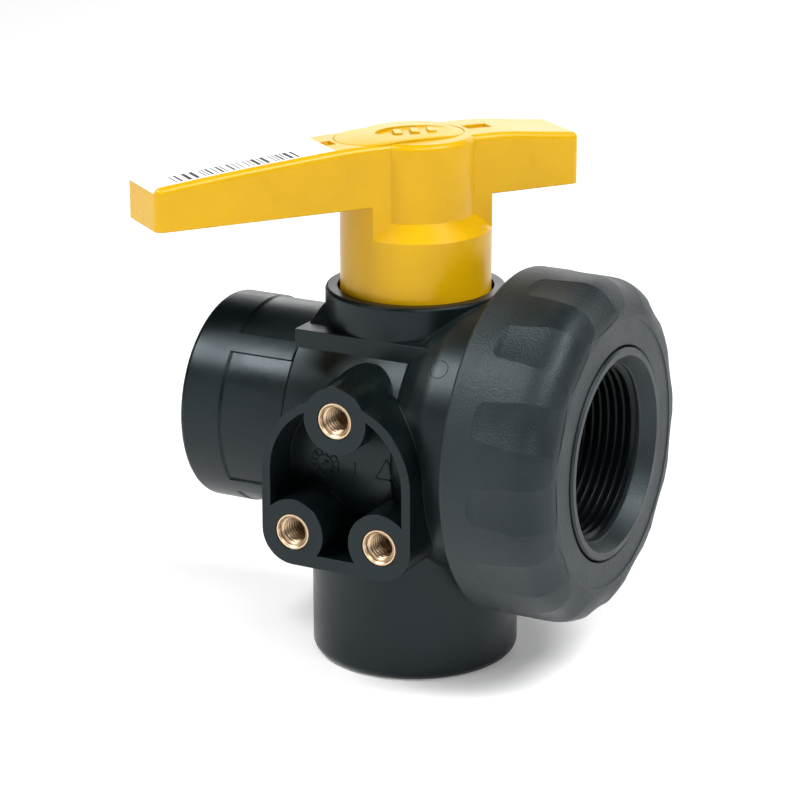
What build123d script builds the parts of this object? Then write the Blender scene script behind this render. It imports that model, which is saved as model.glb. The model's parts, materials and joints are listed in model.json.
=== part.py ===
from build123d import *
import os
import math

os.makedirs("parts", exist_ok=True)

# Three way ball valve, G 1-1/2. All lengths in mm.
# The bottom port stands on Z = 0, the union is on +X, the mounting bracket faces -Y.

# valve body
axis_z = 65.0              # run axis and ball centre above the bottom port mouth
port_r = 28.3              # outside radius of the bottom port
left_r = 28.95             # outside radius of the left port
left_mouth = -57.7         # mouth of the left port
thread_r = 23.95           # G 1-1/2 thread, major radius
thread_depth = 22.0
bore_r = 17.0              # plain bore between port thread and ball seat
barrel_r = 34.5            # centre barrel round the ball
barrel_left = -23.5
shoulder_r = 38.6          # right shoulder under the union nut
spigot_r = 37.5            # G 2-1/2 thread the union nut screws on
spigot_end = 50.0
cavity_r = 30.0            # chamber the ball is fitted through
saddle_half = 24.3         # flat topped saddle under the collar
saddle_top = 29.4
collar_r = 24.3
collar_bore = 21.1
collar_top = 38.8
collar_floor = 34.0
housing_r = 13.0           # stem housing inside the handle skirt
housing_top = 50.0
stem_bore = 8.2

# mounting bracket
bracket_face = 45.5        # bracket face in front of the run axis
boss_r = 9.1
boss_top = (0.0, 13.2)
boss_left = (-12.9, -19.4)
boss_right = (12.9, -19.4)
bracket_r = 22.0
bracket_mid = -3.0
bracket_wall = 2.5
insert_r = 4.8
insert_length = 13.0

# ball and seats
ball_r = 27.5
waterway_r = 16.0
seat_inner = 16.4
seat_outer = 21.0
seat_back = 26.0
pocket_r = 21.2
pocket_back = 26.2

# union
nut_r = 46.5
nut_back = 30.5
nut_face = 59.5
nut_face_r = 36.0
nut_hole = 28.9
nut_thread = 37.9
flute_count = 13
flute_phase = 23.6
flute_hollow = 60.0        # radius of the hollow across each flute
connector_r = 28.5
flange_r = 36.0
flange_back = 50.2
flange_front = 55.0
tube_r = 29.7
tube_end = 37.0

# stem
stem_r = 8.0
stem_flange_r = 12.0
square = 11.4

# handle
handle_turn = 234.0        # direction of the long arm, degrees from +X
skirt_r = 20.3
skirt_bore = 17.0
hub_r = 15.9
arm_half = 10.1
long_arm = 77.8
short_arm = 44.0
arm_bottom = 64.0
arm_top = 80.2             # flat top over the hub
cap_seat = 79.7            # floor of the recess the cap sits in
cap_half = 9.2
cap_apex = 81.2

run = Plane(origin=(0, 0, axis_z), x_dir=(1, 0, 0), z_dir=(0, -1, 0))
run_axis = Axis((0, 0, axis_z), (1, 0, 0))
front = Plane(origin=(0, -bracket_face, axis_z), x_dir=(1, 0, 0), z_dir=(0, -1, 0))
lever = Plane.XY.rotated((0, 0, handle_turn))
arm_x = math.cos(math.radians(handle_turn))
arm_y = math.sin(math.radians(handle_turn))
lever_side = Plane(origin=(0, 0, axis_z), x_dir=(arm_x, arm_y, 0), z_dir=(arm_y, -arm_x, 0))


def save(piece, label):
    piece.part.label = label
    export_step(piece.part, f"parts/{label}.step")


def sphere_r(radius, offset):
    return math.sqrt(radius * radius - offset * offset)


# ---------------------------------------------------------------- valve body
with BuildPart() as valve_body:
    with BuildSketch(run):
        with BuildLine():
            Polyline(
                (left_mouth, 0),
                (left_mouth, left_r),
                (barrel_left - 3.0, left_r),
                (barrel_left - 0.6, left_r + 1.0),
                (barrel_left, left_r + 2.4),
                (barrel_left, barrel_r - 1.0),
                (barrel_left + 1.0, barrel_r),
                (10.4, barrel_r),
            )
            Spline(
                (10.4, barrel_r),
                (12.8, 36.3),
                (15.5, 37.4),
                (18.2, 38.1),
                (22.0, shoulder_r),
                tangents=[(0.35, 1), (1, 0)],
            )
            Polyline(
                (22.0, shoulder_r),
                (29.4, shoulder_r),
                (30.0, shoulder_r - 0.6),
                (30.0, spigot_r),
                (spigot_end - 1.2, spigot_r),
                (spigot_end, spigot_r - 1.2),
                (spigot_end, 0),
                (left_mouth, 0),
            )
        make_face()
    revolve(axis=run_axis)
    fillet(valve_body.edges().group_by(Axis.X)[0], 1.5)
    # bottom port
    with BuildSketch(Plane.XY):
        Circle(port_r)
    extrude(amount=axis_z)
    fillet(valve_body.edges().group_by(Axis.Z)[0], 3.0)
    # saddle under the collar
    with BuildSketch(Plane.XY.offset(axis_z)):
        with Locations(((barrel_left + 16.0) / 2, 0)):
            Rectangle(16.0 - barrel_left, 2 * saddle_half)
    extrude(amount=saddle_top)
    # collar round the handle skirt
    with BuildSketch(Plane.XZ):
        Polygon(
            (0, axis_z),
            (collar_r, axis_z),
            (collar_r, axis_z + collar_top - 0.8),
            (collar_r - 0.25, axis_z + collar_top - 0.25),
            (collar_r - 0.8, axis_z + collar_top),
            (0, axis_z + collar_top),
            align=None,
        )
    revolve(axis=Axis.Z)
    # bracket wall, outline of the mounting face
    with BuildSketch(front):
        with Locations((0, bracket_mid)):
            Circle(bracket_r)
        with Locations((0, (bracket_mid + boss_left[1]) / 2)):
            Rectangle(2 * bracket_r, bracket_mid - boss_left[1])
        with Locations(boss_top, boss_left, boss_right):
            Circle(boss_r)
        with Locations((0, boss_left[1] - boss_r / 2)):
            Rectangle(2 * boss_right[0], boss_r)
        with Locations((0, bracket_mid)):
            Circle(bracket_r - bracket_wall, mode=Mode.SUBTRACT)
        with Locations((0, (bracket_mid - 25.0) / 2)):
            Rectangle(2 * (bracket_r - bracket_wall), 25.0 + bracket_mid, mode=Mode.SUBTRACT)
        with Locations(boss_top, boss_left, boss_right):
            Circle(boss_r)
    extrude(amount=-(bracket_face - 14.0))
    # hump behind the top boss, widening towards the barrel above the pocket
    with BuildSketch(front.offset(-4.0)):
        with Locations(boss_top):
            Circle(boss_r)
        with Locations((0, boss_top[1] - 10.0)):
            Rectangle(40.0, 20.0, mode=Mode.SUBTRACT)
    extrude(amount=-20.0, taper=-4)
    # shallow pads round the left port
    for turn in (-42.0, 48.0, 138.0, 228.0):
        with BuildPart(Plane.XY, mode=Mode.PRIVATE) as pad:
            with BuildSketch(Plane(origin=(0, 0, axis_z), x_dir=(1, 0, 0), z_dir=(0, -1, 0))):
                with Locations((-35.2, left_r + 1.15)):
                    RectangleRounded(20.8, 3.2, 1.2)
            revolve(axis=run_axis, revolution_arc=78)
        add(pad.part.rotate(run_axis, turn), mode=Mode.SUBTRACT)
    # chamber, left seat pocket, left bore and left thread
    with BuildSketch(run):
        with BuildLine():
            Polyline(
                (left_mouth - 0.1, 0),
                (left_mouth - 0.1, thread_r + 1.4),
                (left_mouth + 1.2, thread_r),
                (left_mouth + thread_depth, thread_r),
                (left_mouth + thread_depth + 3.0, bore_r),
                (-pocket_back, bore_r),
                (-pocket_back, pocket_r),
                (-sphere_r(28.2, pocket_r), pocket_r),
            )
            ThreePointArc(
                (-sphere_r(28.2, pocket_r), pocket_r),
                (-15.5, sphere_r(28.2, 15.5)),
                (-12.0, sphere_r(28.2, 12.0)),
            )
            Polyline(
                (-12.0, sphere_r(28.2, 12.0)),
                (-12.0, cavity_r),
                (spigot_end + 0.1, cavity_r),
                (spigot_end + 0.1, 0),
                (left_mouth - 0.1, 0),
            )
        make_face()
    revolve(axis=run_axis, mode=Mode.SUBTRACT)
    # bottom seat pocket, bore and thread
    with BuildSketch(Plane.XZ):
        Polygon(
            (0, -0.1),
            (thread_r, -0.1),
            (thread_r, thread_depth),
            (bore_r, thread_depth + 3.0),
            (bore_r, axis_z - 31.5),
            (pocket_r, axis_z - 31.5),
            (pocket_r, axis_z - 14.0),
            (0, axis_z - 14.0),
            align=None,
        )
    revolve(axis=Axis.Z, mode=Mode.SUBTRACT)
    # well inside the collar
    with BuildSketch(Plane.XY.offset(axis_z + collar_floor)):
        Circle(collar_bore)
    extrude(amount=18.0, mode=Mode.SUBTRACT)
    # stem housing and the stop sector at its foot
    with BuildSketch(Plane.XY.offset(axis_z + collar_floor - 1.0)):
        Circle(housing_r)
    extrude(amount=housing_top - collar_floor + 1.0)
    with BuildSketch(Plane.XY.offset(axis_z + collar_floor - 1.0)):
        with BuildLine():
            Line((0, 0), (16.5 * math.cos(math.radians(12)), 16.5 * math.sin(math.radians(12))))
            ThreePointArc(
                (16.5 * math.cos(math.radians(12)), 16.5 * math.sin(math.radians(12))),
                (0, 16.5),
                (-16.5 * math.cos(math.radians(12)), 16.5 * math.sin(math.radians(12))),
            )
            Line((-16.5 * math.cos(math.radians(12)), 16.5 * math.sin(math.radians(12))), (0, 0))
        make_face()
    extrude(amount=7.0)
    # stem bore and counterbore for its flange
    with BuildSketch(Plane.XY.offset(axis_z + 20.0)):
        Circle(stem_bore)
    extrude(amount=40.0, mode=Mode.SUBTRACT)
    with BuildSketch(Plane.XY.offset(axis_z + 20.0)):
        Circle(stem_flange_r + 0.3)
    extrude(amount=12.5, mode=Mode.SUBTRACT)
    # insert holes
    with BuildSketch(front):
        with Locations(boss_top, boss_left, boss_right):
            Circle(insert_r + 0.25)
    extrude(amount=-(insert_length + 0.5), mode=Mode.SUBTRACT)
save(valve_body, "valve_body")


# ---------------------------------------------------------------- union nut
with BuildPart() as union_nut:
    with BuildSketch(run):
        with BuildLine():
            Polyline(
                (nut_back, nut_thread),
                (nut_back, nut_r - 0.8),
                (nut_back + 0.3, nut_r - 0.2),
                (nut_back + 0.9, nut_r),
                (48.5, nut_r),
            )
            Spline(
                (48.5, nut_r),
                (52.5, nut_r - 0.45),
                (56.2, nut_r - 2.4),
                (58.6, nut_r - 6.0),
                (nut_face, nut_face_r),
                tangents=[(1, 0), (0.05, -1)],
            )
            Polyline(
                (nut_face, nut_face_r),
                (nut_face - 0.25, nut_face_r - 0.2),
                (nut_face - 0.25, nut_hole + 0.4),
                (nut_face - 0.65, nut_hole),
                (flange_front + 0.15, nut_hole),
                (flange_front + 0.15, nut_thread),
                (nut_back, nut_thread),
            )
        make_face()
    revolve(axis=run_axis)
    # finger flutes, each a shallow hollow that follows the rounded shoulder
    flute_axis = Axis((0, 0, axis_z + nut_r + flute_hollow), (1, 0, 0))
    with BuildPart(mode=Mode.PRIVATE) as flute:
        with BuildSketch(run):
            with BuildLine():
                Polyline((38.0, nut_r + 0.1), (38.9, nut_r - 0.3), (40.2, nut_r - 0.5))
                Spline(
                    (40.2, nut_r - 0.5),
                    (48.0, nut_r - 0.65),
                    (52.5, nut_r - 1.2),
                    (56.0, nut_r - 2.95),
                    (58.2, nut_r - 6.0),
                    (59.3, nut_face_r + 1.0),
                    tangents=[(1, -0.02), (0.1, -1)],
                )
                Polyline(
                    (59.3, nut_face_r + 1.0),
                    (62.0, nut_face_r + 1.0),
                    (62.0, nut_r + 4.0),
                    (38.0, nut_r + 4.0),
                    (38.0, nut_r + 0.1),
                )
            make_face()
        revolve(axis=flute_axis, revolution_arc=24)
    for count in range(flute_count):
        turn = 90 - flute_phase - 360.0 / flute_count * count
        add(flute.part.rotate(flute_axis, -12).rotate(run_axis, turn), mode=Mode.SUBTRACT)
save(union_nut, "union_nut")

# ---------------------------------------------------------------- end connector
with BuildPart() as union_end_connector:
    with BuildSketch(run):
        Polygon(
            (tube_end, bore_r),
            (tube_end, tube_r - 0.8),
            (tube_end + 0.8, tube_r),
            (42.0, tube_r),
            (42.0, 27.4),
            (45.0, 27.4),
            (45.0, tube_r),
            (flange_back, tube_r),
            (flange_back, flange_r - 0.6),
            (flange_back + 0.6, flange_r),
            (flange_front - 0.6, flange_r),
            (flange_front, flange_r - 0.6),
            (flange_front, connector_r),
            (59.4, connector_r),
            (59.9, connector_r - 0.5),
            (59.9, 26.4),
            (56.2, thread_r + 0.35),
            (55.8, thread_r),
            (59.9 - thread_depth, thread_r),
            (tube_end, bore_r + 4.0),
            align=None,
        )
    revolve(axis=run_axis)
save(union_end_connector, "union_end_connector")

with BuildPart() as seat_carrier:
    with BuildSketch(run):
        Polygon(
            (21.6, pocket_r),
            (21.6, 28.7),
            (22.6, tube_r),
            (29.0, tube_r),
            (29.0, 27.4),
            (32.0, 27.4),
            (32.0, tube_r),
            (tube_end - 0.4, tube_r),
            (tube_end - 0.4, bore_r),
            (pocket_back, bore_r),
            (pocket_back, pocket_r),
            align=None,
        )
    revolve(axis=run_axis)
save(seat_carrier, "seat_carrier")

with BuildPart() as bottom_seat_carrier:
    with BuildSketch(Plane.XZ):
        Polygon(
            (bore_r, axis_z - 31.4),
            (seat_outer, axis_z - 31.4),
            (seat_outer, axis_z - pocket_back),
            (bore_r, axis_z - pocket_back),
            align=None,
        )
    revolve(axis=Axis.Z)
save(bottom_seat_carrier, "bottom_seat_carrier")


# ---------------------------------------------------------------- rings
def seat_profile():
    with BuildLine() as outline:
        Polyline(
            (seat_back, seat_inner),
            (sphere_r(ball_r + 0.08, seat_inner), seat_inner),
        )
        ThreePointArc(
            (sphere_r(ball_r + 0.08, seat_inner), seat_inner),
            (sphere_r(ball_r + 0.08, 17.8), 17.8),
            (sphere_r(ball_r + 0.08, 19.1), 19.1),
        )
        Polyline(
            (sphere_r(ball_r + 0.08, 19.1), 19.1),
            (seat_outer + 0.5, seat_outer),
            (seat_back, seat_outer),
            (seat_back, 19.9),
            (seat_back - 2.0, 19.9),
            (seat_back - 2.0, 17.7),
            (seat_back, 17.7),
            (seat_back, seat_inner),
        )
    return outline.line


with BuildPart() as ball_seat_right:
    with BuildSketch(run):
        with BuildLine():
            add(seat_profile())
        make_face()
    revolve(axis=run_axis)
save(ball_seat_right, "ball_seat_right")

with BuildPart() as ball_seat_left:
    add(ball_seat_right.part.mirror(Plane.YZ))
save(ball_seat_left, "ball_seat_left")

with BuildPart() as ball_seat_bottom:
    add(ball_seat_right.part.rotate(Axis((0, 0, axis_z), (0, 1, 0)), 90))
save(ball_seat_bottom, "ball_seat_bottom")

rings = (
    ("union_o_ring", run, run_axis, 43.5, 28.7, 1.25),
    ("seat_carrier_o_ring", run, run_axis, 30.5, 28.7, 1.25),
    ("seat_back_ring_right", run, run_axis, 25.1, 18.8, 1.0),
    ("seat_back_ring_left", run, run_axis, -25.1, 18.8, 1.0),
)
for label, plane, axis, along, ring_r, section_r in rings:
    with BuildPart() as ring:
        with BuildSketch(plane):
            with Locations((along, ring_r)):
                Circle(section_r)
        revolve(axis=axis)
    save(ring, label)

upright_rings = (
    ("seat_back_ring_bottom", axis_z - 25.1, 18.8, 1.0),
    ("stem_o_ring_lower", axis_z + 38.3, 7.05, 1.1),
    ("stem_o_ring_upper", axis_z + 44.3, 7.05, 1.1),
)
for label, height, ring_r, section_r in upright_rings:
    with BuildPart() as ring:
        with BuildSketch(Plane.XZ):
            with Locations((ring_r, height)):
                Circle(section_r)
        revolve(axis=Axis.Z)
    save(ring, label)

# ---------------------------------------------------------------- ball and stem
with BuildPart() as ball:
    with Locations((0, 0, axis_z)):
        Sphere(ball_r)
        Sphere(waterway_r, mode=Mode.SUBTRACT)
    with BuildSketch(Plane.XY.offset(axis_z)):
        Circle(waterway_r)
    extrude(amount=-40.0, mode=Mode.SUBTRACT)
    side = Plane(origin=(0, 0, axis_z), x_dir=(-arm_y, arm_x, 0), z_dir=(arm_x, arm_y, 0))
    with BuildSketch(side):
        Circle(waterway_r)
    extrude(amount=40.0, mode=Mode.SUBTRACT)
    with BuildSketch(lever.offset(axis_z + 20.5)):
        Rectangle(24.0, 8.4)
    extrude(amount=10.0, mode=Mode.SUBTRACT)
save(ball, "ball")

with BuildPart() as stem:
    with BuildSketch(lever.offset(axis_z + 20.8)):
        Rectangle(20.0, 8.0)
    extrude(amount=7.6)
    with BuildSketch(Plane.XZ):
        Polygon(
            (0, axis_z + 28.0),
            (stem_flange_r, axis_z + 28.0),
            (stem_flange_r, axis_z + 31.0),
            (stem_r, axis_z + 31.0),
            (stem_r, axis_z + 37.0),
            (5.9, axis_z + 37.0),
            (5.9, axis_z + 39.6),
            (stem_r, axis_z + 39.6),
            (stem_r, axis_z + 43.0),
            (5.9, axis_z + 43.0),
            (5.9, axis_z + 45.6),
            (stem_r, axis_z + 45.6),
            (stem_r, axis_z + 65.4),
            (stem_r - 0.6, axis_z + 66.0),
            (0, axis_z + 66.0),
            align=None,
        )
    revolve(axis=Axis.Z)
    with BuildSketch(lever.offset(axis_z + 50.0)):
        Circle(stem_r + 1.0)
        Rectangle(square, square, mode=Mode.SUBTRACT)
    extrude(amount=20.0, mode=Mode.SUBTRACT)
    with BuildSketch(Plane.XY.offset(axis_z + 54.0)):
        Circle(3.05)
    extrude(amount=20.0, mode=Mode.SUBTRACT)
save(stem, "stem")

with BuildPart() as stem_thrust_washer:
    with BuildSketch(Plane.XY.offset(axis_z + 31.1)):
        Circle(stem_flange_r)
        Circle(stem_r + 0.1, mode=Mode.SUBTRACT)
    extrude(amount=1.3)
save(stem_thrust_washer, "stem_thrust_washer")

# ---------------------------------------------------------------- handle
with BuildPart() as handle:
    # skirt that turns inside the collar
    with BuildSketch(Plane.XY.offset(axis_z + collar_floor + 0.5)):
        Circle(skirt_r)
    extrude(amount=55.0 - collar_floor - 0.5)
    # shoulder between the skirt and the narrower hub
    with BuildSketch(Plane.XZ):
        Polygon(
            (0, axis_z + 54.9),
            (skirt_r, axis_z + 54.9),
            (skirt_r, axis_z + 55.0),
            (hub_r, axis_z + 59.2),
            (hub_r, axis_z + arm_top),
            (0, axis_z + arm_top),
            align=None,
        )
    revolve(axis=Axis.Z)
    # skirt sides carried up to the underside of the arms
    with BuildSketch(lever.offset(axis_z + 55.0)):
        Circle(skirt_r)
        Rectangle(4 * skirt_r, 2 * arm_half, mode=Mode.INTERSECT)
    extrude(amount=arm_bottom - 55.0 + 1.0)
    # both arms
    with BuildSketch(lever_side):
        with BuildLine():
            Polyline(
                (long_arm, 75.2),
                (long_arm, arm_bottom),
                (-short_arm, arm_bottom),
                (-short_arm, 77.8),
            )
            Spline(
                (-short_arm, 77.8),
                (-30.0, 79.3),
                (-18.0, arm_top),
                tangents=[(1, 0.11), (1, 0)],
            )
            Line((-18.0, arm_top), (18.0, arm_top))
            Spline(
                (18.0, arm_top),
                (27.0, 79.85),
                (40.0, 78.85),
                (60.0, 77.1),
                (long_arm, 75.2),
                tangents=[(1, 0), (1, -0.11)],
            )
        make_face()
    extrude(amount=arm_half, both=True)
    # rounded arm ends and top edges
    corners = handle.edges().filter_by(GeomType.LINE).filter_by(Axis.Z)
    ends = corners.filter_by(lambda edge: math.hypot(edge.center().X, edge.center().Y) > 40)
    fillet(ends, 2.0)
    top_face = handle.faces().filter_by(lambda face: face.normal_at().Z > 0.9)
    top_face = top_face.filter_by(lambda face: face.center().Z > axis_z + 70)
    rim = [
        edge
        for edge in top_face.edges()
        if len([face for face in top_face if edge in face.edges()]) == 1
    ]
    fillet(rim, 1.6)
    # hollow skirt round the stem housing
    with BuildSketch(Plane.XY.offset(axis_z + collar_floor)):
        Circle(skirt_bore)
    extrude(amount=53.0 - collar_floor, mode=Mode.SUBTRACT)
    # square socket, screw hole and head recess
    with BuildSketch(lever.offset(axis_z + 52.0)):
        Rectangle(square + 0.3, square + 0.3)
    extrude(amount=14.6, mode=Mode.SUBTRACT)
    with BuildSketch(Plane.XY.offset(axis_z + 60.0)):
        Circle(3.3)
    extrude(amount=30.0, mode=Mode.SUBTRACT)
    with BuildSketch(Plane.XY.offset(axis_z + 72.0)):
        Circle(6.5)
    extrude(amount=10.0, mode=Mode.SUBTRACT)
    # seat of the cap, and a small recess on each arm beside it
    with BuildSketch(lever.offset(axis_z + cap_seat)):
        with Locations((5.0, 0)):
            SlotCenterToCenter(18.0, 2 * cap_half + 0.1)
    extrude(amount=5.0, mode=Mode.SUBTRACT)
    with BuildSketch(lever.offset(axis_z + 79.2)):
        with Locations((-18.0, 0)):
            Rectangle(7.0, 4.4)
        with Locations((25.8, 0)):
            Rectangle(3.0, 4.4)
    extrude(amount=5.0, mode=Mode.SUBTRACT)
    # stop rib inside the skirt, under the long arm
    with BuildSketch(lever.offset(axis_z + collar_floor + 0.5)):
        with Locations((15.4, 0)):
            Rectangle(3.8, 5.0)
    extrude(amount=6.0)
    # cored underside of the arms
    with BuildSketch(lever.offset(axis_z + arm_bottom - 1.0)):
        for along in (30.0, 43.0, 56.0, 69.0):
            with Locations((along, 4.3), (along, -4.3)):
                RectangleRounded(11.0, 6.6, 0.8)
        with Locations((-31.5, 4.3), (-31.5, -4.3)):
            RectangleRounded(11.0, 6.6, 0.8)
    extrude(amount=9.0, mode=Mode.SUBTRACT)
save(handle, "handle")

with BuildPart() as handle_cap:
    with BuildSketch(lever.offset(axis_z + cap_seat)):
        with Locations((5.0, 0)):
            SlotCenterToCenter(18.0, 2 * cap_half)
    extrude(amount=4.0)
    # gently domed top
    with Locations((5.0 * arm_x, 5.0 * arm_y, axis_z + cap_apex - 150.0)):
        Sphere(150.0, mode=Mode.INTERSECT)
    fillet(handle_cap.faces().sort_by(Axis.Z)[-1].edges(), 0.4)
    # oval recess with three plain raised bars
    with BuildSketch(lever.offset(axis_z + cap_apex - 0.8)):
        with Locations((0.5, 0)):
            Ellipse(11.3, 5.6)
        with Locations((-4.5, 0), (0.5, 0), (5.5, 0)):
            Rectangle(2.2, 5.0, rotation=-20, mode=Mode.SUBTRACT)
    extrude(amount=2.0, mode=Mode.SUBTRACT)
    # plug in the screw recess
    with BuildSketch(lever.offset(axis_z + 77.6)):
        Circle(6.2)
    extrude(amount=cap_seat - 77.6 + 0.1)
save(handle_cap, "handle_cap")

with BuildPart() as handle_screw:
    with BuildSketch(Plane.XY.offset(axis_z + 57.0)):
        Circle(3.0)
    extrude(amount=17.0)
    with BuildSketch(Plane.XY.offset(axis_z + 73.3)):
        Circle(5.0)
    extrude(amount=4.0)
    chamfer(handle_screw.edges().group_by(Axis.Z)[-1], 0.5)
    with BuildSketch(Plane.XY.offset(axis_z + 75.0)):
        RegularPolygon(2.5, 6, major_radius=False)
    extrude(amount=4.0, mode=Mode.SUBTRACT)
save(handle_screw, "handle_screw")

with BuildPart() as handle_screw_washer:
    with BuildSketch(Plane.XY.offset(axis_z + 72.05)):
        Circle(6.0)
        Circle(3.2, mode=Mode.SUBTRACT)
    extrude(amount=1.2)
save(handle_screw_washer, "handle_screw_washer")

# ---------------------------------------------------------------- inserts
for label, spot in (
    ("brass_insert_top", boss_top),
    ("brass_insert_left", boss_left),
    ("brass_insert_right", boss_right),
):
    with BuildPart() as insert:
        with BuildSketch(front.offset(-0.1)):
            with Locations(spot):
                Circle(insert_r)
        extrude(amount=-insert_length)
        with BuildSketch(front.offset(-3.0)):
            with Locations(spot):
                Circle(insert_r + 0.3)
        extrude(amount=-(insert_length - 5.0))
        with BuildSketch(front):
            with Locations(spot):
                Circle(4.0)
        extrude(amount=-20.0, mode=Mode.SUBTRACT)
        mouth = insert.edges().filter_by(GeomType.CIRCLE)
        mouth = mouth.filter_by(lambda edge: abs(edge.radius - 4.0) < 0.01)
        chamfer(mouth.group_by(Axis.Y)[0], 0.4)
    save(insert, label)

# ---------------------------------------------------------------- label
with BuildPart() as barcode_label:
    with BuildSketch(lever_side):
        with BuildLine():
            Spline(
                (18.0, arm_top + 0.15),
                (27.0, 80.0),
                (40.0, 79.0),
                (60.0, 77.25),
                (long_arm - 1.45, 75.5),
                tangents=[(1, 0), (1, -0.11)],
            )
            ThreePointArc(
                (long_arm - 1.45, 75.5),
                (long_arm - 0.37, 74.98),
                (long_arm + 0.12, 74.0),
            )
            Polyline(
                (long_arm + 0.12, 74.0),
                (long_arm - 3.0, 73.0),
                (18.0, 73.0),
                (18.0, arm_top + 0.15),
            )
        make_face()
        with Locations((17.5, 77.0)):
            Rectangle(20.0, 30.0, mode=Mode.SUBTRACT)
    extrude(amount=8.4, both=True)
    add(handle.part, mode=Mode.SUBTRACT)
save(barcode_label, "barcode_label")
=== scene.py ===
import json
import math
import random

import bmesh
import bpy
from mathutils import Matrix, Vector
from mathutils.bvhtree import BVHTree


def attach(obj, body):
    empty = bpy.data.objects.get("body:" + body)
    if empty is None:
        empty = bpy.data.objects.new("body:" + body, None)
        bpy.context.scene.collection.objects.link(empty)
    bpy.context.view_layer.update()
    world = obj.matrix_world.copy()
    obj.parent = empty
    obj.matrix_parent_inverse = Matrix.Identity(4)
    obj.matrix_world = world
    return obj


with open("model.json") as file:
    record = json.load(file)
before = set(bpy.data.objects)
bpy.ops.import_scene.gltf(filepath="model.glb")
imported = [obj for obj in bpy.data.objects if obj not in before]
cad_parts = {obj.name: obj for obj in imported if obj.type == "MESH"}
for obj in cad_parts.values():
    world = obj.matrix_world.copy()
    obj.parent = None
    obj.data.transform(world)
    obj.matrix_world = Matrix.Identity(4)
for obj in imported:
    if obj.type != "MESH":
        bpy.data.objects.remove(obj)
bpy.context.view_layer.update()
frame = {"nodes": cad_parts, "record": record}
nodes = frame["nodes"]

MM = 0.001

# threads in mm: major radius, minor radius, pitch
PIPE_THREAD = (23.95, 22.42, 2.309)
INSERT_THREAD = (4.0, 3.33, 1.25)

# direction of the long handle arm at rest, degrees from +X
HANDLE_TURN = 234.0

# mould marks in the bracket pocket: centres across the run and above its axis, in mm
DIAL = (-9.2, -3.0)
TRIANGLE = (9.3, -2.9)
TRIANGLE_RADIUS = 3.9

# ejector ring on the right shoulder: place along the run, degrees above level, radii in mm
RING_X = 21.6
RING_RISE = 42
RING_RADIUS = 2.5
SHOULDER_RADIUS = 38.0

# camera round the ball centre
AZIMUTH = 27.72
ELEVATION = 17.92
CAMERA_DISTANCE = 0.800
CAMERA_LEFT = 0.00424
CAMERA_UP = 0.00575


# ------------------------------------------------------------------ materials
looks = {}


def new_material(name):
    """An empty Principled material, kept in looks under its name."""
    material = bpy.data.materials.new(name)
    material.use_nodes = True
    tree = material.node_tree
    tree.nodes.clear()
    output = tree.nodes.new("ShaderNodeOutputMaterial")
    shader = tree.nodes.new("ShaderNodeBsdfPrincipled")
    tree.links.new(shader.outputs["BSDF"], output.inputs["Surface"])
    looks[name] = material
    return tree, shader


def noise(tree, coords, scale, detail=4.0, roughness=0.6):
    node = tree.nodes.new("ShaderNodeTexNoise")
    node.inputs["Scale"].default_value = scale
    node.inputs["Detail"].default_value = detail
    node.inputs["Roughness"].default_value = roughness
    tree.links.new(coords, node.inputs["Vector"])
    return node.outputs["Fac"]


def ramp(tree, value, low, high, out_low, out_high):
    node = tree.nodes.new("ShaderNodeMapRange")
    node.inputs["From Min"].default_value = low
    node.inputs["From Max"].default_value = high
    node.inputs["To Min"].default_value = out_low
    node.inputs["To Max"].default_value = out_high
    tree.links.new(value, node.inputs["Value"])
    return node.outputs["Result"]


def mix_colour(tree, factor, first, second):
    """Colour between first and second. second is a colour or a socket that gives one."""
    node = tree.nodes.new("ShaderNodeMix")
    node.data_type = "RGBA"
    node.inputs["A"].default_value = (*first, 1.0)
    if isinstance(second, tuple):
        node.inputs["B"].default_value = (*second, 1.0)
    else:
        tree.links.new(second, node.inputs["B"])
    tree.links.new(factor, node.inputs["Factor"])
    return node.outputs["Result"]


def bump(tree, shader, height, strength, distance):
    node = tree.nodes.new("ShaderNodeBump")
    node.inputs["Strength"].default_value = strength
    node.inputs["Distance"].default_value = distance
    tree.links.new(height, node.inputs["Height"])
    tree.links.new(node.outputs["Normal"], shader.inputs["Normal"])
    return node


def moulded_plastic(name, dark, light, rough_low, rough_high, grain_scale, grain,
                    specular=0.5, tint=(1.0, 1.0, 1.0), edge=0.0):
    """Moulded plastic: colour drifts slightly, roughness varies in patches, fine grain in the bump.
    edge is the radius, in mm, that the shading rounds sharp corners with."""
    tree, shader = new_material(name)
    coords = tree.nodes.new("ShaderNodeTexCoord").outputs["Object"]
    patches = noise(tree, coords, 60.0, 3.0, 0.55)
    fine = noise(tree, coords, grain_scale, 2.0, 0.5)
    colour = mix_colour(tree, ramp(tree, patches, 0.35, 0.65, 0.0, 1.0), dark, light)
    tree.links.new(colour, shader.inputs["Base Color"])
    rough = ramp(tree, patches, 0.3, 0.7, rough_low, rough_high)
    tree.links.new(rough, shader.inputs["Roughness"])
    shader.inputs["Specular IOR Level"].default_value = specular
    shader.inputs["Specular Tint"].default_value = (*tint, 1.0)
    relief = bump(tree, shader, fine, grain, 0.0002)
    if edge:
        soft = tree.nodes.new("ShaderNodeBevel")
        soft.samples = 6
        soft.inputs["Radius"].default_value = edge * MM
        tree.links.new(soft.outputs["Normal"], relief.inputs["Normal"])


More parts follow.
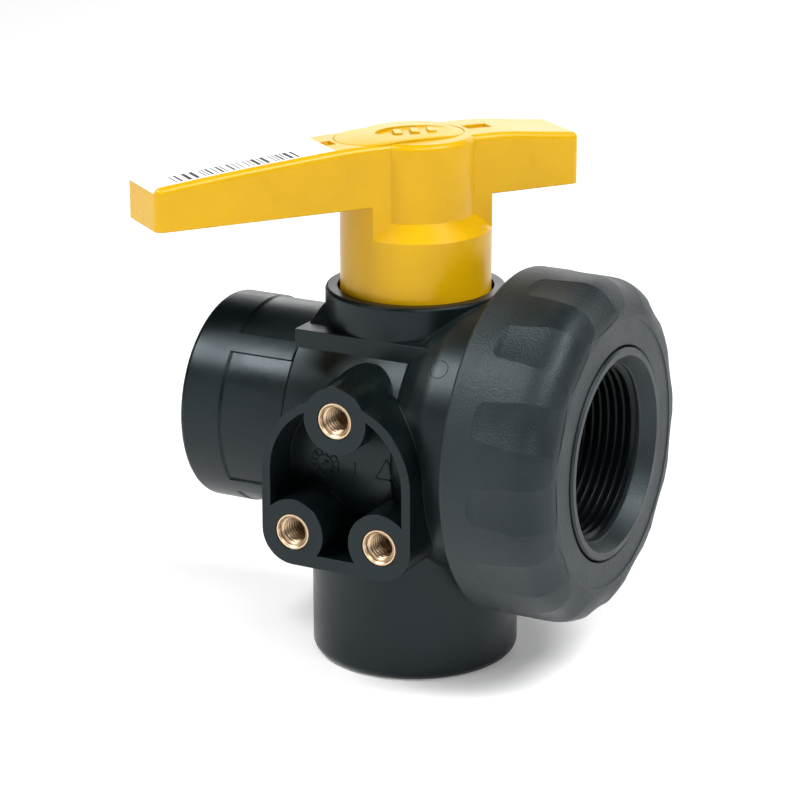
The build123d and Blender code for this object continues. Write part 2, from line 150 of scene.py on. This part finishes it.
def turned_metal(name, dark, light, rough_low, rough_high, painted_groove_shade=None):
    """Turned metal; where a groove colour is given, its colour falls to it deep in narrow grooves as
    painted shade.
    """
    tree, shader = new_material(name)
    coords = tree.nodes.new("ShaderNodeTexCoord").outputs["Object"]
    patches = noise(tree, coords, 300.0, 3.0, 0.6)
    colour = mix_colour(tree, patches, dark, light)
    if painted_groove_shade:
        # painted shade: ambient occlusion darkens the colour towards the groove colour deep in narrow
        # grooves
        groove_shade_occlusion = tree.nodes.new("ShaderNodeAmbientOcclusion")
        groove_shade_occlusion.samples = 8
        groove_shade_occlusion.inputs["Distance"].default_value = 0.9 * MM
        colour = mix_colour(tree, ramp(tree, groove_shade_occlusion.outputs["AO"], 0.25, 0.75, 0.0, 1.0), painted_groove_shade, colour)
    tree.links.new(colour, shader.inputs["Base Color"])
    rough = ramp(tree, noise(tree, coords, 900.0), 0.3, 0.7, rough_low, rough_high)
    tree.links.new(rough, shader.inputs["Roughness"])
    shader.inputs["Metallic"].default_value = 1.0
    bump(tree, shader, noise(tree, coords, 2500.0), 0.08, 0.0001)


# specular tint of the cool black plastics
COOL = (0.78, 0.93, 1.0)

# dark and light colour, low and high roughness, grain scale and strength
moulded_plastic(
    "body_black", (0.0022, 0.0043, 0.0050), (0.0040, 0.0068, 0.0078), 0.27, 0.40, 3500.0, 0.10,
    specular=0.28, tint=COOL, edge=0.35)
moulded_plastic(
    "nut_black", (0.0070, 0.0100, 0.0115), (0.0125, 0.0165, 0.0185), 0.40, 0.52, 2100.0, 0.65,
    specular=0.34, tint=COOL, edge=0.35)
moulded_plastic(
    "connector_black", (0.0085, 0.0115, 0.013), (0.014, 0.018, 0.020), 0.38, 0.50, 2200.0, 0.35,
    specular=0.38, tint=COOL, edge=0.3)
# thread_black: a darker, duller copy of the connector plastic, painted shade for the thread deep inside
# the union port
moulded_plastic(
    "thread_black", (0.0015, 0.0022, 0.0025), (0.003, 0.004, 0.0045), 0.26, 0.34, 3000.0, 0.06,
    specular=0.12, tint=COOL)
moulded_plastic(
    "carrier_black", (0.012, 0.012, 0.013), (0.02, 0.02, 0.022), 0.35, 0.45, 3500.0, 0.10)
moulded_plastic(
    "ball_black", (0.010, 0.010, 0.011), (0.014, 0.014, 0.015), 0.14, 0.20, 4000.0, 0.02)
moulded_plastic(
    "seat_white", (0.78, 0.78, 0.76), (0.84, 0.84, 0.82), 0.40, 0.50, 2500.0, 0.05)
moulded_plastic(
    "rubber_black", (0.012, 0.012, 0.012), (0.02, 0.02, 0.02), 0.60, 0.75, 3000.0, 0.10)
moulded_plastic(
    "stem_grey", (0.05, 0.05, 0.055), (0.07, 0.07, 0.075), 0.30, 0.40, 3000.0, 0.10)
moulded_plastic(
    "handle_yellow", (0.565, 0.315, 0.0010), (0.60, 0.34, 0.0015), 0.26, 0.34, 3000.0, 0.06,
    specular=0.24, edge=0.4)
moulded_plastic(
    "cap_yellow", (0.565, 0.335, 0.0010), (0.60, 0.36, 0.0015), 0.28, 0.36, 3000.0, 0.06,
    specular=0.24, edge=0.3)
moulded_plastic(
    "label_white", (0.80, 0.80, 0.79), (0.84, 0.84, 0.83), 0.35, 0.45, 3000.0, 0.03)
moulded_plastic(
    "label_ink", (0.012, 0.012, 0.012), (0.03, 0.03, 0.03), 0.50, 0.60, 3000.0, 0.03)
turned_metal(
    "stainless", (0.55, 0.55, 0.54), (0.68, 0.68, 0.67), 0.22, 0.32)
# brass inserts: the third colour is painted shade deep in the thread grooves
turned_metal(
    "brass", (0.46, 0.33, 0.205), (0.70, 0.53, 0.36), 0.34, 0.46,
    painted_groove_shade=(0.035, 0.020, 0.010))

slot_of = {part["node"]: part["material_slot"] for part in frame["record"]["subparts"]}
for name, node in nodes.items():
    node.data.materials.clear()
    node.data.materials.append(looks[slot_of[name]])


# ------------------------------------------------------------------ new pieces
def add_piece(name, mesh, body, look):
    piece = bpy.data.objects.new(name, mesh)
    bpy.context.collection.objects.link(piece)
    mesh.materials.append(looks[look])
    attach(piece, body)
    return piece


def thread_mesh(name, matrix, thread, start, end, per_turn=72):
    """A closed helical ridge on the wall of a threaded hole whose axis is local Z."""
    major, minor, pitch = thread
    profile = ((major + 0.10, -0.47), (major - 0.02, -0.45), (minor + 0.06, -0.13), (minor, -0.07),
               (minor, 0.07), (minor + 0.06, 0.13), (major - 0.02, 0.45), (major + 0.10, 0.47))
    turns = (end - start) / pitch
    steps = int(turns * per_turn)
    run_out = 18.0  # steps over which the ridge fades into the wall at each end
    mesh = bpy.data.meshes.new(name)
    build = bmesh.new()
    rows = []
    for step in range(steps + 1):
        angle = 2 * math.pi * step / per_turn
        height = start + pitch * step / per_turn
        fade = min(1.0, step / run_out, (steps - step) / run_out)
        row = []
        for radius, offset in profile:
            inner = major + 0.06 - (major + 0.06 - radius) * fade if radius < major + 0.05 else radius
            point = Vector((inner * math.cos(angle), inner * math.sin(angle), height + offset * pitch))
            row.append(build.verts.new(matrix @ (point * MM)))
        rows.append(row)
    count = len(profile)
    for first, second in zip(rows, rows[1:]):
        for k in range(count):
            build.faces.new((first[k], first[(k + 1) % count], second[(k + 1) % count], second[k]))
    build.faces.new(rows[0])
    build.faces.new(list(reversed(rows[-1])))
    bmesh.ops.recalc_face_normals(build, faces=build.faces)
    build.to_mesh(mesh)
    build.free()
    for polygon in mesh.polygons:
        polygon.use_smooth = True
    return mesh


def hole_matrix(mount):
    """Local Z runs from the mouth into the hole, along the stated mount."""
    axis = -Vector(mount["axis"])
    turned = axis.to_track_quat("Z", "Y").to_matrix().to_4x4()
    return Matrix.Translation(Vector(mount["pos_m"])) @ turned


mounts = {mount["name"]: mount for mount in frame["record"]["mounts"]}
axis_z = mounts["union_port"]["pos_m"][2] / MM
trees = {}


def surface_of(node):
    """Ray test against one CAD node in the shared frame, lengths in mm."""
    if node not in trees:
        source = nodes[node]
        build = bmesh.new()
        build.from_mesh(source.data)
        build.transform(Matrix.Scale(1 / MM, 4) @ source.matrix_world)
        trees[node] = BVHTree.FromBMesh(build)
        build.free()
    return trees[node]


def ridge_mesh(name, node, tracks, width, height, sink=0.05):
    """Thin raised lines that follow a CAD surface.

    Each track is (closed, [(start, direction), ...]), with lengths in mm.
    """
    tree = surface_of(node)
    mesh = bpy.data.meshes.new(name)
    build = bmesh.new()
    for closed, rays in tracks:
        hits = [tree.ray_cast(Vector(start), Vector(direction))[:2] for start, direction in rays]
        hits = [hit for hit in hits if hit[0] is not None]
        if len(hits) < 2:
            continue
        rows = []
        for k, (point, normal) in enumerate(hits):
            before = hits[k - 1][0] if closed or k else point
            after = hits[(k + 1) % len(hits)][0] if closed or k + 1 < len(hits) else point
            side = (after - before).cross(normal).normalized() * (width / 2)
            low, high = point - normal * sink, point + normal * height
            corners = (low - side, low + side, high + side * 0.7, high - side * 0.7)
            rows.append([build.verts.new(corner * MM) for corner in corners])
        pairs = list(zip(rows, rows[1:])) + ([(rows[-1], rows[0])] if closed else [])
        for first, second in pairs:
            for k in range(4):
                build.faces.new((first[k], first[(k + 1) % 4], second[(k + 1) % 4], second[k]))
        if not closed:
            build.faces.new(rows[0])
            build.faces.new(list(reversed(rows[-1])))
    bmesh.ops.recalc_face_normals(build, faces=build.faces)
    build.to_mesh(mesh)
    build.free()
    return mesh


# pipe threads and insert threads
for name, mount, body, slot, look, start, end in (
    ("bottom_port_thread", "bottom_port", "body", "body_black", "body_black", 1.3, 21.4),
    ("left_port_thread", "left_port", "body", "body_black", "body_black", -10.6, 8.8),
    # the union port thread is connector plastic, drawn with thread_black as painted shade
    ("union_port_thread", "union_port", "union_end", "connector_black", "thread_black", -8.0, 8.6),
):
    mesh = thread_mesh(name, hole_matrix(mounts[mount]), PIPE_THREAD, start, end)
    add_piece(name, mesh, body, look)
for side in ("top", "left", "right"):
    matrix = hole_matrix(mounts[f"insert_{side}"])
    mesh = thread_mesh(f"insert_thread_{side}", matrix, INSERT_THREAD, -4.95, 7.0, per_turn=40)
    add_piece(f"insert_thread_{side}", mesh, "body", "brass")

# printed bars on the label, across the front half of the long arm
turn = math.radians(HANDLE_TURN)
along_arm = Vector((math.cos(turn), math.sin(turn), 0.0))
across_arm = Vector((-math.sin(turn), math.cos(turn), 0.0))
rng = random.Random(7)
bars = {0.45: [], 0.8: [], 1.25: []}
place = 37.0
while place < 71.5:
    width = rng.choice((0.45, 0.45, 0.8, 1.25))
    middle = along_arm * (place + width / 2) + Vector((0, 0, axis_z + 95))
    line = [middle + across_arm * (1.6 + 0.31 * k) for k in range(21)]
    bars[width].append((False, [(point, (0, 0, -1)) for point in line]))
    place += width + rng.choice((0.45, 0.8, 0.8, 1.3))
for width, tracks in bars.items():
    mesh = ridge_mesh("label_bars", "barcode_label", tracks, width, 0.02, 0.02)
    add_piece(f"label_bars_{int(width * 100)}", mesh, "lever", "label_ink")


# mould marks on the barrel inside the bracket: a date dial and a plain triangle
def barrel_ray(x, z):
    return ((x, -44.0, axis_z + z), (0, 1, 0))


def circle_track(x, z, radius, steps=48):
    angles = [2 * math.pi * k / steps for k in range(steps)]
    return (True, [barrel_ray(x + radius * math.cos(a), z + radius * math.sin(a)) for a in angles])


def line_track(first, second, steps=6):
    first, second = Vector(first), Vector(second)
    return (False, [barrel_ray(*first.lerp(second, k / steps)) for k in range(steps + 1)])


def dial_point(x, z):
    return (DIAL[0] + x, DIAL[1] + z)


def polar(centre, radius, degrees):
    angle = math.radians(degrees)
    return (centre[0] + radius * math.cos(angle), centre[1] + radius * math.sin(angle))


marks = [circle_track(*DIAL, 4.1), circle_track(*DIAL, 2.3)]
for k in range(12):
    marks.append(line_track(polar(DIAL, 2.6, 30 * k + 15), polar(DIAL, 3.8, 30 * k + 15)))
arrow_tip = dial_point(1.0, 0.8)
for tail in (dial_point(-1.1, -0.7), dial_point(0.0, 0.9), dial_point(0.8, -0.2)):
    marks.append(line_track(arrow_tip, tail))
marks.append(line_track((-0.1, -1.3), (-0.1, -4.9)))
corners = [polar(TRIANGLE, TRIANGLE_RADIUS, degrees) for degrees in (90, 210, 330)]
for first, second in zip(corners, corners[1:] + corners[:1]):
    marks.append(line_track(first, second, 12))
mesh = ridge_mesh("mould_marks", "valve_body", marks, 0.46, 0.22)
add_piece("mould_marks", mesh, "body", "body_black")


# parting lines and an ejector ring on the run
def run_ray(x, degrees, reach=60.0):
    out = Vector((0, -math.cos(math.radians(degrees)), math.sin(math.radians(degrees))))
    return (Vector((x, 0, axis_z)) + out * reach, -out)


lines = [(False, [run_ray(-57.0 + 0.5 * k, -0.5) for k in range(66)])]
ring = [2 * math.pi * k / 36 for k in range(36)]
lines.append((True, [run_ray(RING_X + RING_RADIUS * math.cos(a),
                             RING_RISE + math.degrees(RING_RADIUS * math.sin(a) / SHOULDER_RADIUS))
                     for a in ring]))
mesh = ridge_mesh("parting_lines", "valve_body", lines, 0.22, 0.05)
add_piece("parting_lines", mesh, "body", "body_black")


# ------------------------------------------------------------------ camera, floor and light
turn, rise = math.radians(AZIMUTH), math.radians(ELEVATION)
toward = Vector((math.sin(turn) * math.cos(rise), -math.cos(turn) * math.cos(rise), math.sin(rise)))
right = Vector((math.cos(turn), math.sin(turn), 0.0))
up = toward.cross(right)
spot = (toward * CAMERA_DISTANCE - right * CAMERA_LEFT + up * CAMERA_UP
        + Vector((0, 0, axis_z * MM)))
camera_data = bpy.data.cameras.new("camera")
camera_data.lens = 132.2
camera_data.sensor_width = 36.0
camera_data.clip_start = 0.01
camera = bpy.data.objects.new("camera", camera_data)
facing = Matrix((right, up, toward)).transposed().to_4x4()
camera.matrix_world = Matrix.Translation(spot) @ facing
bpy.context.collection.objects.link(camera)
bpy.context.scene.camera = camera
bpy.context.scene.view_settings.view_transform = "Standard"

floor_mesh = bpy.data.meshes.new("floor")
build = bmesh.new()
bmesh.ops.create_circle(build, cap_ends=True, radius=6.0, segments=96)
build.to_mesh(floor_mesh)
build.free()
floor = bpy.data.objects.new("floor", floor_mesh)
bpy.context.collection.objects.link(floor)
tree, shader = new_material("floor")
shader.inputs["Base Color"].default_value = (0.93, 0.93, 0.93, 1.0)
shader.inputs["Roughness"].default_value = 0.9
shader.inputs["Emission Color"].default_value = (1.0, 1.0, 1.0, 1.0)
shader.inputs["Emission Strength"].default_value = 0.18
floor_mesh.materials.append(looks["floor"])

world = bpy.data.worlds.new("studio")
world.use_nodes = True
sky = world.node_tree
split = sky.nodes.new("ShaderNodeSeparateXYZ")
sky.links.new(sky.nodes.new("ShaderNodeTexCoord").outputs["Generated"], split.inputs["Vector"])
glow = ramp(sky, split.outputs["Z"], 0.15, 0.55, 0.60, 0.12)
sky.links.new(glow, sky.nodes["Background"].inputs["Strength"])
bpy.context.scene.world = world

centre = Vector((0.0, 0.0, axis_z * MM))


def softbox(name, place, size, power):
    """A rectangular area light aimed at the ball centre."""
    data = bpy.data.lights.new(name, "AREA")
    data.shape = "RECTANGLE"
    data.size, data.size_y = size
    data.energy = power
    light = bpy.data.objects.new(name, data)
    light.location = place
    light.rotation_euler = (Vector(place) - centre).to_track_quat("Z", "Y").to_euler()
    bpy.context.collection.objects.link(light)


softbox("key_light", (0.60, -0.75, 0.98), (0.45, 0.45), 4.8)
softbox("front_light", (-0.62, -1.20, 0.28), (0.8, 0.8), 3.2)
softbox("high_light", (-0.55, -0.56, 1.05), (0.4, 0.4), 13.0)
softbox("side_light", (0.85, -0.05, 1.10), (0.5, 0.5), 17.0)
softbox("back_light", (-0.10, 1.60, 0.55), (2.4, 0.8), 14.0)
